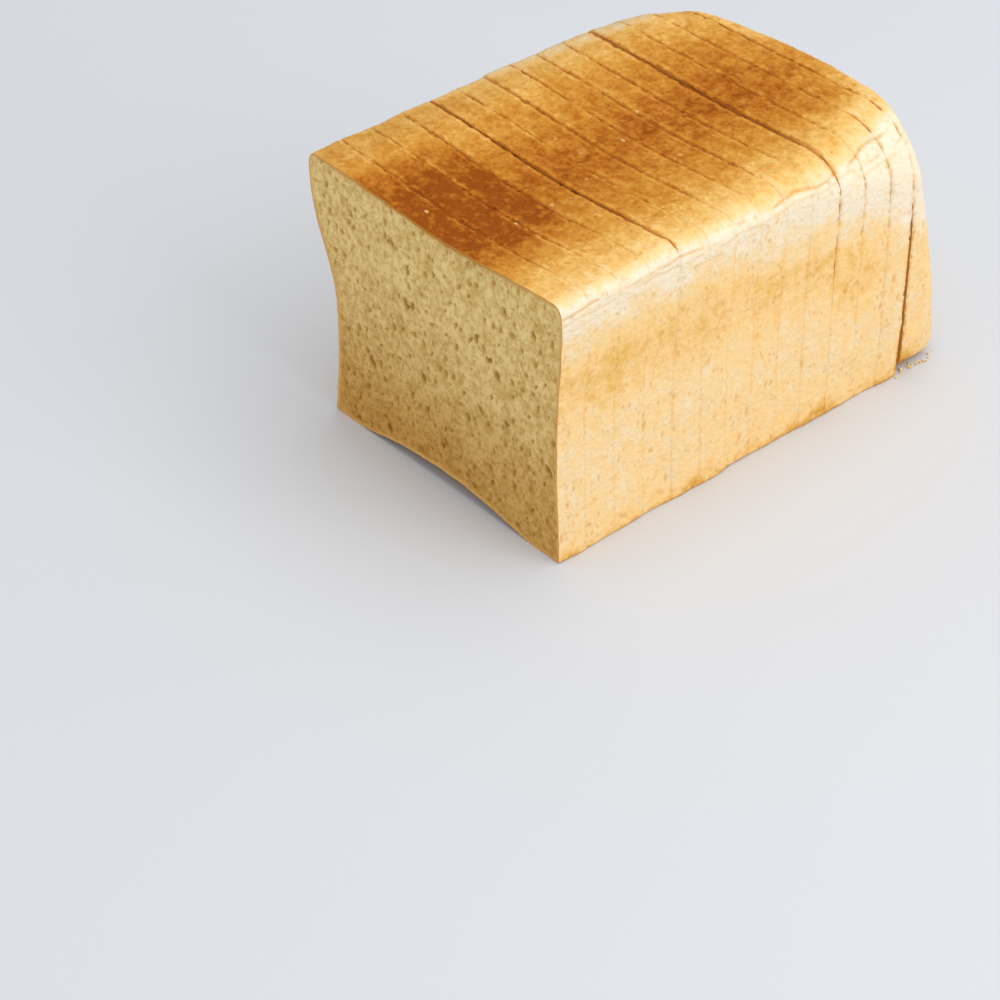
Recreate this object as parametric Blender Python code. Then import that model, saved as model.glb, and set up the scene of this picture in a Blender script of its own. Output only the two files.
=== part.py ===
"""Sliced tin loaf: a row of standing slices and the crust heel, still in the loaf's shape.

Metres, +Z up. The loaf lies along Y, with its open cut face toward -Y and the heel at +Y.
The origin is in the middle of the base.
"""

import math
import random

import bmesh
import bpy

# Thickness of each slice, from the open face back to the heel
SLICE_THICKNESS = (
    0.0108, 0.0118, 0.0121, 0.0120, 0.0114, 0.0110, 0.0112,
    0.0111, 0.0109, 0.0121, 0.0116, 0.0117, 0.0108,
)
HEEL_THICKNESS = 0.0208
HEIGHT = 0.0940

# Half widths of the two walls, at the foot, at the waist and at the shoulder, open end then heel end
RIGHT_WALL_OPEN = (0.0562, 0.0556, 0.0582)
RIGHT_WALL_HEEL = (0.0580, 0.0596, 0.0578)
LEFT_WALL_OPEN = (0.0532, 0.0486, 0.0582)
LEFT_WALL_HEEL = (0.0560, 0.0545, 0.0604)
WAIST_HEIGHT = 0.0430
SHOULDER_HEIGHT = 0.0850

# Rounding of the top corners, across and down, at the open end, and what each side adds at the heel end
CORNER_OPEN = (0.0040, 0.0055)
RIGHT_CORNER_MORE = (0.0260, 0.0318)
RIGHT_CORNER_POWERS = (2.1, 4.2)
LEFT_CORNER_MORE = (0.0664, 0.0624)
LEFT_CORNER_POWERS = (8.65, 12.35)

# The top sags along its middle, has a low crown toward the heel, and stands higher at its left
TOP_SAG = 0.0027
TOP_CROWN = 0.0014
HUMP_CENTRE = 0.0050
HUMP_HALF_WIDTH = 0.0510
LEFT_RISE = 0.0014

# The base is arched between two flat feet, whose outer edges are sharper on a slice than on the heel
FOOT_WIDTH = 0.0130
ARCH_RISE = 0.0050
SLICE_FOOT_EDGE = 0.0010
HEEL_FOOT_EDGE = 0.0060

# Gaps at the cuts, as (at the base, at the top): the usual one, none at the open face, and the cracks
CUT_GAP = (0.00036, 0.00036)
OTHER_GAPS = {0: (0.0, 0.0), 4: (0.0005, 0.0010), 10: (0.0006, 0.0014), 13: (0.0019, 0.0008)}

# Slices of one loaf differ a little: largest change in height, in half width and sideways
HEIGHT_CHANGE = 0.0004
WIDTH_CHANGE = 0.0003
SIDE_SHIFT = 0.0003
SEED = 11

# The heel's far face leans in toward its top, by more at its sides than in its middle
FACE_LEAN = 0.0074
SIDE_LEAN = 0.0191
SIDE_POWER = 2.2
LEAN_CENTRE = 0.0041
LEAN_HALF_WIDTH = 0.0590
LEAN_POWER = 1.8
THINNEST_HEEL = 0.0025
THINNING_EASE = 0.0030

# Rounding of the heel's far edge, and how much of its depth stays straight where it is thin
EDGE_AT_TOP = 0.0116
EDGE_AT_WALLS = 0.0095
EDGE_AT_BASE = 0.0090
STRAIGHT_SHARE = 0.25

# Points along each stretch of an outline, and rings over the heel
FOOT_POINTS = 4
WALL_POINTS = 8
CORNER_POINTS = 9
TOP_POINTS = 12
ARCH_POINTS = 12
EDGE_RINGS = 6
FACE_RINGS = 5

SHARP_ANGLE = math.radians(40)

# Finish of each material, and its place on a piece
CRUST_SLOT = 0
CRUST_COLOUR = (0.62, 0.30, 0.08, 1.0)
CRUST_ROUGHNESS = 0.55
CRUMB_SLOT = 1
CRUMB_COLOUR = (0.72, 0.58, 0.34, 1.0)
CRUMB_ROUGHNESS = 0.9

LOAF_LENGTH = sum(SLICE_THICKNESS) + HEEL_THICKNESS
MIDDLE_HEIGHT = HEIGHT / 2


def mix(first, second, share):
    """The value part of the way from the first to the second."""
    return first + (second - first) * share


def wall_reach(z, sizes):
    """Half width of one wall at height z, from its foot, waist and shoulder sizes."""
    foot, waist, shoulder = sizes
    if z < WAIST_HEIGHT:
        return mix(waist, foot, (1 - z / WAIST_HEIGHT) ** 2)
    rise = min(1.0, (z - WAIST_HEIGHT) / (SHOULDER_HEIGHT - WAIST_HEIGHT))
    return mix(waist, shoulder, math.sin(math.pi / 2 * rise) ** 2)


def wall_sizes(open_end, heel_end, share):
    """A wall's three sizes at this share of the loaf's length."""
    return tuple(mix(a, b, share**2) for a, b in zip(open_end, heel_end))


def top_lift(x, share):
    """How far the top stands above or below its right corner at x."""
    across = (x - HUMP_CENTRE) / HUMP_HALF_WIDTH
    hump = math.exp(-2 * across * across)
    leftness = max(0.0, min(1.0, 0.5 - x / HEIGHT))
    return hump * mix(-TOP_SAG, TOP_CROWN, share**3) + LEFT_RISE * leftness


def corner_sizes(share, more, powers):
    """How far a top corner's rounding reaches across and down at this share of the loaf's length."""
    return tuple(size + add * share**power for size, add, power in zip(CORNER_OPEN, more, powers))


def side_and_corner(sizes, corner, foot_edge, height):
    """Points round the foot's edge, up one wall and round its top corner, as (half width, z)."""
    across, down = corner
    corner_start = height - down
    points = []
    for i in range(FOOT_POINTS):
        turn = math.pi / 2 * i / FOOT_POINTS
        z = foot_edge * (1 - math.cos(turn))
        points.append((wall_reach(z, sizes) - foot_edge * (1 - math.sin(turn)), z))
    for i in range(WALL_POINTS):
        z = mix(foot_edge, corner_start, i / WALL_POINTS)
        points.append((wall_reach(z, sizes), z))
    for i in range(CORNER_POINTS + 1):
        turn = math.pi / 2 * i / CORNER_POINTS
        z = corner_start + down * math.sin(turn)
        points.append((wall_reach(z, sizes) - across * (1 - math.cos(turn)), z))
    return points


def outline(y, foot_edge, height=HEIGHT, wider=0.0):
    """The loaf's outline at y from the open face, from the right foot over the top to the left foot."""
    share = y / LOAF_LENGTH
    right_sizes = wall_sizes(RIGHT_WALL_OPEN, RIGHT_WALL_HEEL, share)
    left_sizes = wall_sizes(LEFT_WALL_OPEN, LEFT_WALL_HEEL, share)
    right_corner = corner_sizes(share, RIGHT_CORNER_MORE, RIGHT_CORNER_POWERS)
    left_corner = corner_sizes(share, LEFT_CORNER_MORE, LEFT_CORNER_POWERS)
    right = side_and_corner(right_sizes, right_corner, foot_edge, height)
    left = side_and_corner(left_sizes, left_corner, foot_edge, height)
    right = [(x + wider, z) for x, z in right]
    left = [(-x - wider, z) for x, z in reversed(left)]
    top = []
    for i in range(1, TOP_POINTS):
        top.append((mix(right[-1][0], left[0][0], i / TOP_POINTS), height))
    lifted = []
    for x, z in right + top + left:
        near_top = max(0.0, (z - SHOULDER_HEIGHT) / (height - SHOULDER_HEIGHT))
        lifted.append((x, z + top_lift(x, share) * near_top))
    inner_left = left[-1][0] + FOOT_WIDTH
    inner_right = right[0][0] - FOOT_WIDTH
    base = []
    for i in range(ARCH_POINTS + 1):
        rise = ARCH_RISE * math.sin(math.pi * i / ARCH_POINTS)
        base.append((mix(inner_left, inner_right, i / ARCH_POINTS), rise))
    return lifted + base


def cut_place(number):
    """Distance of a cut's middle from the open face."""
    return sum(SLICE_THICKNESS[:number])


def cut_face(number, z, side):
    """Where the crumb of one side of a cut lies at height z; side is -1 before the cut, 1 after it."""
    low, high = OTHER_GAPS.get(number, CUT_GAP)
    return cut_place(number) + side * mix(low, high, z / HEIGHT) / 2


def mesh_of_rings(name, rings, back_slot):
    """A closed mesh over rings of points that match one to one, capped by crumb in front."""
    bm = bmesh.new()
    loops = [[bm.verts.new(point) for point in ring] for ring in rings]
    for near, far in zip(loops, loops[1:]):
        for i in range(len(near)):
            j = (i + 1) % len(near)
            bm.faces.new((near[i], far[i], far[j], near[j]))
    front = bm.faces.new(loops[0])
    front.material_index = CRUMB_SLOT
    back = bm.faces.new(reversed(loops[-1]))
    back.material_index = back_slot
    bmesh.ops.recalc_face_normals(bm, faces=bm.faces)
    mesh = bpy.data.meshes.new(name)
    bm.to_mesh(mesh)
    bm.free()
    return mesh


def add_piece(name, rings, back_slot):
    """One piece of the loaf, as its own object, crust round its sides and crumb on its cut faces."""
    mesh = mesh_of_rings(name, rings, back_slot)
    mesh.materials.append(food_material(name + "_crust", CRUST_COLOUR, CRUST_ROUGHNESS))
    mesh.materials.append(food_material(name + "_crumb", CRUMB_COLOUR, CRUMB_ROUGHNESS))
    mesh.shade_smooth()
    mesh.set_sharp_from_angle(angle=SHARP_ANGLE)
    piece = bpy.data.objects.new(name, mesh)
    bpy.context.scene.collection.objects.link(piece)
    return piece


def food_material(name, colour, roughness):
    """A plain material with the food's own colour."""
    material = bpy.data.materials.new(name)
    material.use_nodes = True
    shader = material.node_tree.nodes["Principled BSDF"]
    shader.inputs["Base Color"].default_value = colour
    shader.inputs["Roughness"].default_value = roughness
    return material


def make_slice(number, draw):
    """One slice between its two cuts, a little unlike its neighbours."""
    height = HEIGHT + draw.uniform(-HEIGHT_CHANGE, HEIGHT_CHANGE)
    wider = draw.uniform(-WIDTH_CHANGE, WIDTH_CHANGE)
    shift = draw.uniform(-SIDE_SHIFT, SIDE_SHIFT)
    rings = []
    for cut, side in ((number - 1, 1), (number, -1)):
        ring = []
        for x, z in outline(cut_place(cut), SLICE_FOOT_EDGE, height, wider):
            ring.append((x + shift, cut_face(cut, z, side), z))
        rings.append(ring)
    return add_piece(f"slice_{number:02d}", rings, CRUMB_SLOT)


def edge_radius(z):
    """Rounding of the heel's far edge, large at the top, less at the walls and the base."""
    up = max(0.0, min(1.0, (z - WAIST_HEIGHT) / (HEIGHT - WAIST_HEIGHT)))
    down = max(0.0, 1 - z / WAIST_HEIGHT)
    radius = mix(EDGE_AT_WALLS, EDGE_AT_TOP, up**2)
    return mix(radius, EDGE_AT_BASE, down**2)


def heel_face(x, z):
    """How far from the open face the heel's leaning far face lies."""
    aside = abs(x - LEAN_CENTRE) / LEAN_HALF_WIDTH
    lean = (FACE_LEAN + SIDE_LEAN * aside**SIDE_POWER) * (max(0.0, z) / HEIGHT) ** LEAN_POWER
    spare = HEEL_THICKNESS - lean - THINNEST_HEEL
    thickness = THINNEST_HEEL + (spare + math.hypot(spare, THINNING_EASE)) / 2
    return LOAF_LENGTH - HEEL_THICKNESS + thickness


def drawn_in(x, z, shrink):
    """An outline's point moved toward the middle of the loaf's end."""
    return x * shrink, MIDDLE_HEIGHT + (z - MIDDLE_HEIGHT) * shrink


def heel_edge_point(x, z, turn):
    """A point on the heel's crust, part of the way from its wall round to its far face."""
    radius = edge_radius(z)
    reach = math.hypot(x, z - MIDDLE_HEIGHT)
    new_x, new_z = drawn_in(x, z, 1 - radius * (1 - math.cos(turn)) / reach)
    near = cut_face(len(SLICE_THICKNESS), z, 1)
    depth = heel_face(new_x, new_z) - near
    straight = max(depth * STRAIGHT_SHARE, depth - radius)
    return new_x, near + straight + (depth - straight) * math.sin(turn), new_z


def make_heel():
    """The end piece: a cut face in front, crust on its walls and over its rounded far face."""
    last_cut = len(SLICE_THICKNESS)
    start = outline(cut_place(last_cut), HEEL_FOOT_EDGE)
    rings = [[(x, cut_face(last_cut, z, 1), z) for x, z in start]]
    for i in range(EDGE_RINGS + 1):
        turn = math.pi / 2 * i / EDGE_RINGS
        rings.append([heel_edge_point(x, z, turn) for x, z in start])
    edge = rings[-1]
    for i in range(1, FACE_RINGS):
        inner = [drawn_in(x, z, 1 - i / FACE_RINGS) for x, _, z in edge]
        rings.append([(x, heel_face(x, z), z) for x, z in inner])
    return add_piece("heel", rings, CRUST_SLOT)


def centre_on_base(pieces):
    """Moves the pieces' points so that the origin is the middle of the loaf's base."""
    points = [vertex.co for piece in pieces for vertex in piece.data.vertices]
    middle_x = (min(p.x for p in points) + max(p.x for p in points)) / 2
    middle_y = (min(p.y for p in points) + max(p.y for p in points)) / 2
    for point in points:
        point.x -= middle_x
        point.y -= middle_y


def main():
    for old in list(bpy.data.objects):
        bpy.data.objects.remove(old)
    draw = random.Random(SEED)
    pieces = [make_slice(i + 1, draw) for i in range(len(SLICE_THICKNESS))]
    pieces.append(make_heel())
    centre_on_base(pieces)


main()
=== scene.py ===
"""Sliced tin loaf: a standing row of slices with its crust heel, on a pale floor.

Metres, +Z up. The loaf lies along Y, with its open cut face toward -Y and the heel at +Y.
The operators are in the sidebar of the 3D view, under Loaf.
"""

import math
import random

import bpy
import numpy as np
from bpy.props import FloatProperty, FloatVectorProperty, IntProperty, PointerProperty
from mathutils import Color, Matrix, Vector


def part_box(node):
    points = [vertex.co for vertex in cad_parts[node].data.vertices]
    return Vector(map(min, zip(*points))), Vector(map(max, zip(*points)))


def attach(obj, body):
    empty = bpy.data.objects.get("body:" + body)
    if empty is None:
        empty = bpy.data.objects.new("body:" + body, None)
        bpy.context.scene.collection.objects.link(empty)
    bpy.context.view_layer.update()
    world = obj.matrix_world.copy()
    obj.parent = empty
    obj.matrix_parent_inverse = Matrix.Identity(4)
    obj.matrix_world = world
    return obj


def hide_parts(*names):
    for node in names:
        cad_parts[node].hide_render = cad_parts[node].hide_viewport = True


bl_info = {
    "name": "Sliced Tin Loaf",
    "version": (1, 0, 0),
    "blender": (4, 5, 0),
    "location": "3D View > Sidebar > Loaf",
    "description": "Builds a sliced tin loaf with its crust, crumb and crust heel",
    "category": "Add Mesh",
}

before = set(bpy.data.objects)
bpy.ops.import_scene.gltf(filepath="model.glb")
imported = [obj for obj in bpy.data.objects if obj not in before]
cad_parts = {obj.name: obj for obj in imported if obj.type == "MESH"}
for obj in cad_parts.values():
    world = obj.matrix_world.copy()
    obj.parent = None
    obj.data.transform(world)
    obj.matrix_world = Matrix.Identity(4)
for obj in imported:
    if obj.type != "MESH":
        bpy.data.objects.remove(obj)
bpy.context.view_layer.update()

MM = 0.001

# Half widths at the foot, waist and shoulder, at the open end and the heel, and how the corner grows
RIGHT_SIDE = ((0.0562, 0.0556, 0.0582), (0.0580, 0.0596, 0.0578), (0.0260, 0.0318), (2.1, 4.2))
LEFT_SIDE = ((0.0532, 0.0486, 0.0582), (0.0560, 0.0545, 0.0604), (0.0664, 0.0624), (8.65, 12.35))
WAIST_HEIGHT = 0.0430
SHOULDER_HEIGHT = 0.0850

# Rounding of the top corners at the open end, across and down, before it grows toward the heel
CORNER_OPEN = (0.0040, 0.0055)

# The top sags along its middle, has a low crown toward the heel, and stands higher at its left
TOP_SAG = 0.0027
TOP_CROWN = 0.0014
HUMP_CENTRE = 0.0050
HUMP_HALF_WIDTH = 0.0510
LEFT_RISE = 0.0014

# The base is arched between two flat feet
FOOT_WIDTH = 0.0130
ARCH_RISE = 0.0050
SLICE_FOOT_EDGE = 0.0005
HEEL_FOOT_EDGE = 0.0060

# Gaps at the cuts, at the base and at the top: the usual one, none at the open face, and the cracks
CUT_GAP = (0.00036, 0.00036)
OTHER_GAPS = {0: (0.0, 0.0), 4: (0.0005, 0.0010), 10: (0.0006, 0.0014), 13: (0.0019, 0.0008)}

# How far slices of one loaf differ in height, in half width and sideways
HEIGHT_CHANGE = 0.0004
WIDTH_CHANGE = 0.0003
SIDE_SHIFT = 0.0003
SLICE_SEED = 11

# The heel's far face leans in toward its top, by more at its sides than in its middle
FACE_LEAN = 0.0074
SIDE_LEAN = 0.0191
SIDE_POWER = 2.2
LEAN_CENTRE = 0.0041
LEAN_HALF_WIDTH = 0.0590
LEAN_POWER = 1.8
THINNEST_HEEL = 0.0025
THINNING_EASE = 0.0030

# Rounding of the heel's far edge, and how much of its depth stays straight where it is thin
EDGE_AT_TOP = 0.0116
EDGE_AT_WALLS = 0.0095
EDGE_AT_BASE = 0.0090
STRAIGHT_SHARE = 0.25

# Steps along an outline before it is spaced out evenly
FOOT_STEPS = 10
WALL_STEPS = 60
HALF_CORNER_STEPS = 16
TOP_STEPS = 70
ARCH_STEPS = 60

# Mesh steps: across, up and through a piece, and how many times coarser its hidden faces are
OPEN_SLICE_STEPS = (260, 212, 26)
SLICE_STEPS = (192, 156, 18)
HEEL_STEPS = (200, 164, 30)
OPEN_SLICE_COARSER = (1, 4)
SLICE_COARSER = (2, 2)
HEEL_COARSER = (4, 1)
HEEL_WALL_STEPS = 14
HEEL_CROWDING = 1.4
EDGE_CROWDING = 0.6


def colour(name, description, default):
    """A colour setting."""
    return FloatVectorProperty(
        name=name, description=description, default=default, size=3, subtype="COLOR", min=0, max=1
    )


def measure(name, description, default, unit="LENGTH"):
    """A number setting, in metres unless another unit is given."""
    return FloatProperty(name=name, description=description, default=default, precision=5, unit=unit)


def seed_setting(description, default):
    """A setting that changes what is random."""
    return IntProperty(name="Seed", description=description, default=default)


class LoafShape(bpy.types.PropertyGroup):
    """Sizes of the loaf."""

    slice_thickness: FloatVectorProperty(
        name="Slice thickness",
        description="Thickness of each slice, from the open face back to the heel",
        size=13,
        default=(
            0.0108, 0.0118, 0.0121, 0.0120, 0.0114, 0.0110, 0.0112,
            0.0111, 0.0109, 0.0121, 0.0116, 0.0117, 0.0108,
        ),
        precision=4,
        subtype="XYZ_LENGTH",
    )
    heel_thickness: measure("Heel thickness", "Thickness of the crust end at its base", 0.0208)
    height: measure("Height", "Height of the walls' top corners at the open end", 0.0940)


class CrustFinish(bpy.types.PropertyGroup):
    """Colours and relief of the crust."""

    # Cream is pale crust with a painted highlight where the shoulders catch the light
    cream: colour("Cream", "The palest crust, along the shoulders", (0.87, 0.75, 0.56))
    sand: colour("Sand", "The pale crust of the walls", (0.89, 0.65, 0.34))
    peach: colour("Peach", "The warmer crust high on the walls", (0.92, 0.60, 0.25))
    golden: colour("Golden", "The yellow crust beside the shoulders", (0.81, 0.485, 0.135))
    tan: colour("Tan", "The crust between golden and orange", (0.65, 0.305, 0.050))
    orange: colour("Orange", "The crust between tan and brown", (0.57, 0.235, 0.028))
    brown: colour("Brown", "The browned crust along the top", (0.45, 0.143, 0.011))
    dark: colour("Dark", "The darkest patches of the top", (0.285, 0.066, 0.002))
    # Painted shade: the tint that the top's left edge takes on, as it tilts away from the lights
    dull: colour("Dull", "What the top's left edge takes on", (0.76, 0.68, 0.52))
    pit: colour("Pit", "What pits and cuts do to the crust's colour", (0.80, 0.50, 0.17))
    fleck: colour("Fleck", "Pale flecks on the browned top", (0.80, 0.52, 0.20))
    relief: measure("Relief", "How far the crust's bumps stand out", 0.00022)
    seed: seed_setting("Changes the crust's patches, bumps and flecks", 5)


class CrumbFinish(bpy.types.PropertyGroup):
    """Colours and pores of the crumb."""

    pale: colour("Pale", "The walls between the pores", (0.96, 0.71, 0.295))
    # Tan and deep are painted shade inside the pores, deepest in the largest
    tan: colour("Tan", "The crumb inside the pores", (0.66, 0.41, 0.105))
    deep: colour("Deep", "The bottom of the largest pores", (0.52, 0.32, 0.082))
    # Painted shade and warm bounce light low on the crumb, and a darker tone beside the crust
    warm: colour("Warm", "What the crumb near the base takes on", (0.72, 0.53, 0.30))
    rim: colour("Rim", "The crust's own thickness, seen at a cut", (0.82, 0.46, 0.13))
    rim_width: measure("Rim width", "Thickness of the crust at a cut", 0.0012)
    pore_depth: measure("Pore depth", "Depth of the largest pores", 0.0016)
    seed: seed_setting("Changes the places of the pores", 3)


class StageLook(bpy.types.PropertyGroup):
    """Floor, light and camera."""

    floor_colour: colour("Floor", "Colour of the floor", (0.625, 0.635, 0.66))
    sky_strength: measure("Room light", "Brightness of the light from all round", 0.76, "NONE")
    top_power: measure("Top light", "Power of the softbox overhead", 10.2, "POWER")
    side_power: measure("Side light", "Power of the softbox at the right and behind", 9.2, "POWER")
    lens: measure("Lens", "Focal length of the camera on a 36 mm sensor", 93.6, "CAMERA")


def mix(first, second, share):
    """The value part of the way from the first to the second."""
    return first + (second - first) * share


def climb(value, start, reach):
    """0 up to the start, 1 from one reach beyond it, and a straight line between them."""
    return np.clip((value - start) / reach, 0, 1)


def smooth(value, low, high):
    """0 below low, 1 above high, and an even S between them."""
    share = climb(value, low, high - low)
    return share * share * (3 - 2 * share)


def bell(value, centre, width):
    """1 at the centre, falling away evenly over the width."""
    return np.exp(-(((value - centre) / width) ** 2))


# Random fields that give the same value at the same place each time

# Whole numbers that scramble the place of a cell
AXIS_FACTORS = (73856093, 19349663, 83492791)
SEED_FACTOR = 7919
SEED_START = 17
SCRAMBLE = 1103515245
SCRAMBLE_START = 12345
SCRAMBLE_AGAIN = 1274126177
LOW_31_BITS = 0x7FFFFFFF
LOW_20_BITS = 0xFFFFF


def place_value(cells, seed):
    """A number from 0 to 1 for each row of whole numbers."""
    mixed = np.full(cells.shape[:-1], seed * SEED_FACTOR + SEED_START, dtype=np.int64)
    for axis, factor in enumerate(AXIS_FACTORS[: cells.shape[-1]]):
        mixed = ((mixed ^ (cells[..., axis] * factor)) * SCRAMBLE + SCRAMBLE_START) & LOW_31_BITS
        mixed ^= mixed >> 15
    mixed = (mixed * SCRAMBLE_AGAIN) & LOW_31_BITS
    return ((mixed ^ (mixed >> 13)) & LOW_20_BITS) / LOW_20_BITS


def soft_noise(points, size, seed):
    """Smooth noise from -1 to 1 whose bumps are about this size."""
    places = points / size
    corner = np.floor(places).astype(np.int64)
    part = places - corner
    ease = part * part * part * (part * (part * 6 - 15) + 10)
    total = np.zeros(len(points))
    for step in np.ndindex(*(2,) * points.shape[1]):
        weight = np.ones(len(points))
        for axis, side in enumerate(step):
            weight *= ease[:, axis] if side else 1 - ease[:, axis]
        total += weight * place_value(corner + np.array(step), seed)
    return total * 2 - 1


def layered_noise(points, size, seed, layers=3):
    """Smooth noise from about -1 to 1 with finer and fainter noise over it."""
    total = np.zeros(len(points))
    for layer in range(layers):
        total += soft_noise(points, size / 2**layer, seed + layer) / 2**layer
    return total / 1.5


def spots(points, size, small, large, share, seed):
    """Round spots, 1 in their middle and 0 outside: one for a share of the cells of this size."""
    places = points / size
    corner = np.floor(places).astype(np.int64)
    axes = points.shape[1]
    best = np.zeros(len(points))
    for step in np.ndindex(*(3,) * axes):
        cell = corner + np.array(step) - 1
        away = np.zeros(len(points))
        for axis in range(axes):
            middle = cell[:, axis] + 0.5 + 0.7 * (place_value(cell, seed + axis) - 0.5)
            away += (places[:, axis] - middle) ** 2
        draw = place_value(cell, seed + 7)
        radius = mix(small, large, place_value(cell, seed + 11) ** 2) / size
        best = np.maximum(best, np.where(draw < share, 1 - away / radius**2, 0))
    return best


# The loaf's outline

def wall_reach(z, sizes):
    """Half width of one wall at height z, from its foot, waist and shoulder sizes."""
    foot, waist, shoulder = sizes
    low = mix(waist, foot, np.clip(1 - z / WAIST_HEIGHT, 0, 1) ** 2)
    rise = climb(z, WAIST_HEIGHT, SHOULDER_HEIGHT - WAIST_HEIGHT)
    return np.where(z < WAIST_HEIGHT, low, mix(waist, shoulder, np.sin(math.pi / 2 * rise) ** 2))


def top_lift(x, share, height):
    """How far the top stands above or below its right corner at x."""
    hump = np.exp(-2 * ((x - HUMP_CENTRE) / HUMP_HALF_WIDTH) ** 2)
    leftness = np.clip(0.5 - x / height, 0, 1)
    return hump * mix(-TOP_SAG, TOP_CROWN, share**3) + LEFT_RISE * leftness


def side_and_corner(sizes, corner, foot_edge, height):
    """Points up one wall to the middle of its top corner, and on from there to the corner's end."""
    across, down = corner
    corner_start = height - down
    turn = np.linspace(0, math.pi / 2, FOOT_STEPS, endpoint=False)
    foot_z = foot_edge * (1 - np.cos(turn))
    foot = np.stack([wall_reach(foot_z, sizes) - foot_edge * (1 - np.sin(turn)), foot_z], 1)
    wall_z = np.linspace(foot_edge, corner_start, WALL_STEPS, endpoint=False)
    wall = np.stack([wall_reach(wall_z, sizes), wall_z], 1)
    turn = np.linspace(0, math.pi / 2, 2 * HALF_CORNER_STEPS + 1)
    corner_z = corner_start + down * np.sin(turn)
    rounded = np.stack([wall_reach(corner_z, sizes) - across * (1 - np.cos(turn)), corner_z], 1)
    middle = HALF_CORNER_STEPS
    return np.concatenate([foot, wall, rounded[: middle + 1]]), rounded[middle:]


def evenly(points, count):
    """The same line through count + 1 points that lie evenly along it."""
    steps = np.linalg.norm(np.diff(points, axis=0), axis=1)
    along = np.concatenate([[0], np.cumsum(steps)])
    places = np.linspace(0, along[-1], count + 1)
    return np.stack([np.interp(places, along, points[:, axis]) for axis in (0, 1)], 1)


def outline(share, foot_edge, height, wider, across_steps, up_steps):
    """The outline's points: up the right wall, over the top, down the left wall, back along the base."""
    sides = []
    for (open_end, heel_end, more, powers), mirror in ((RIGHT_SIDE, 1), (LEFT_SIDE, -1)):
        sizes = [mix(first, last, share**2) for first, last in zip(open_end, heel_end)]
        corner = [size + add * share**power for size, add, power in zip(CORNER_OPEN, more, powers)]
        for line in side_and_corner(sizes, corner, foot_edge, height):
            line[:, 0] = (line[:, 0] + wider) * mirror
            sides.append(line)
    right, right_top, left, left_top = sides
    middle_x = np.linspace(right_top[-1, 0], left_top[-1, 0], TOP_STEPS)[1:-1]
    middle = np.stack([middle_x, np.full(len(middle_x), height)], 1)
    top = np.concatenate([right_top, middle, left_top[::-1]])
    for side in (right, top, left):
        near_top = np.clip((side[:, 1] - SHOULDER_HEIGHT) / (height - SHOULDER_HEIGHT), 0, None)
        side[:, 1] += top_lift(side[:, 0], share, height) * near_top
    inner = np.linspace(left[0, 0] + FOOT_WIDTH, right[0, 0] - FOOT_WIDTH, ARCH_STEPS)
    arch = np.stack([inner, ARCH_RISE * np.sin(math.pi * np.linspace(0, 1, ARCH_STEPS))], 1)
    base = np.concatenate([left[:1], arch, right[:1]])
    lines = ((right, up_steps), (top, across_steps), (left[::-1], up_steps), (base, across_steps))
    return np.concatenate([evenly(line, count)[:-1] for line, count in lines])


# Places of the cuts

def loaf_length(shape):
    """The whole loaf's length, with its heel."""
    return sum(shape.slice_thickness) + shape.heel_thickness


def cut_place(shape, number):
    """Distance of a cut's middle from the open face."""
    return sum(shape.slice_thickness[:number])


def gap_at(number, z, shape):
    """Width of a cut's gap at height z."""
    low, high = OTHER_GAPS.get(number, CUT_GAP)
    return mix(low, high, z / shape.height)


def cut_face(shape, number, z, side):
    """Where one side of a cut lies at height z; side is -1 before the cut and 1 after it."""
    return cut_place(shape, number) + side * gap_at(number, z, shape) / 2


def cut_ring(shape, number, side, foot_edge, height, wider, shift, steps):
    """Points in space round one side of a cut."""
    share = cut_place(shape, number) / loaf_length(shape)
    line = outline(share, foot_edge, height, wider, *steps[:2])
    x, z = line.T
    return np.stack([x + shift, cut_face(shape, number, z, side), z], 1)


def loaf_offset(shape):
    """From the middle of the open face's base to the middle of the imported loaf's base."""
    last_cut = len(shape.slice_thickness)
    ring = cut_ring(shape, last_cut, 1, HEEL_FOOT_EDGE, shape.height, 0, 0, HEEL_STEPS)
    open_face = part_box("slice_01")[0].y
    return np.array([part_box("heel")[1].x - ring[:, 0].max(), open_face, 0.0])


# The crust's browning and relief, in the loaf's own coordinates

# How brown the crust is across the top, from 0 cream to 1 dark, and up the walls
ACROSS_TOP = (
    -0.0585, -0.0540, -0.0475, -0.0415, -0.0340, -0.0250, -0.0150, -0.0050, 0.0050,
    0.0150, 0.0240, 0.0310, 0.0360, 0.0400, 0.0440, 0.0480, 0.0520, 0.0550, 0.0580,
)
BROWN_ACROSS = (
    0.06, 0.33, 0.42, 0.49, 0.54, 0.61, 0.71, 0.79, 0.80,
    0.71, 0.63, 0.59, 0.51, 0.44, 0.38, 0.32, 0.28, 0.16, 0.0,
)
UP_WALL = (0.0, 0.003, 0.008, 0.030, 0.042, 0.052, 0.062, 0.074)
BROWN_UP_WALL = (0.40, 0.21, 0.14, 0.12, 0.13, 0.19, 0.24, 0.24)

# The first slices are darkest along their middle, between these places across the top
DARK_START = (-0.046, -0.022)
DARK_END = (0.014, 0.034)
DARK_TONE = {1: 0.28, 2: 0.34, 3: 0.26}

# Patches of browning: across, along, half width, half length, strength
PATCHES = (
    (0.0040, 0.0120, 0.0100, 0.0080, 0.06),
    (-0.0250, 0.0480, 0.0120, 0.0140, -0.04),
    (0.0020, 0.1080, 0.0120, 0.0120, 0.05),
    (0.0230, 0.1330, 0.0080, 0.0140, 0.08),
    (-0.0080, 0.1440, 0.0200, 0.0100, -0.08),
)
# Orange patches of the right wall: up, along, half height, half length, strength
WALL_PATCHES = (
    (0.0450, 0.1260, 0.0100, 0.0110, 0.12),
    (0.0650, 0.0200, 0.0140, 0.0200, 0.03),
    (0.0560, 0.0980, 0.0080, 0.0160, 0.05),
    (0.0040, 0.1510, 0.0050, 0.0040, 0.35),
)
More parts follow.
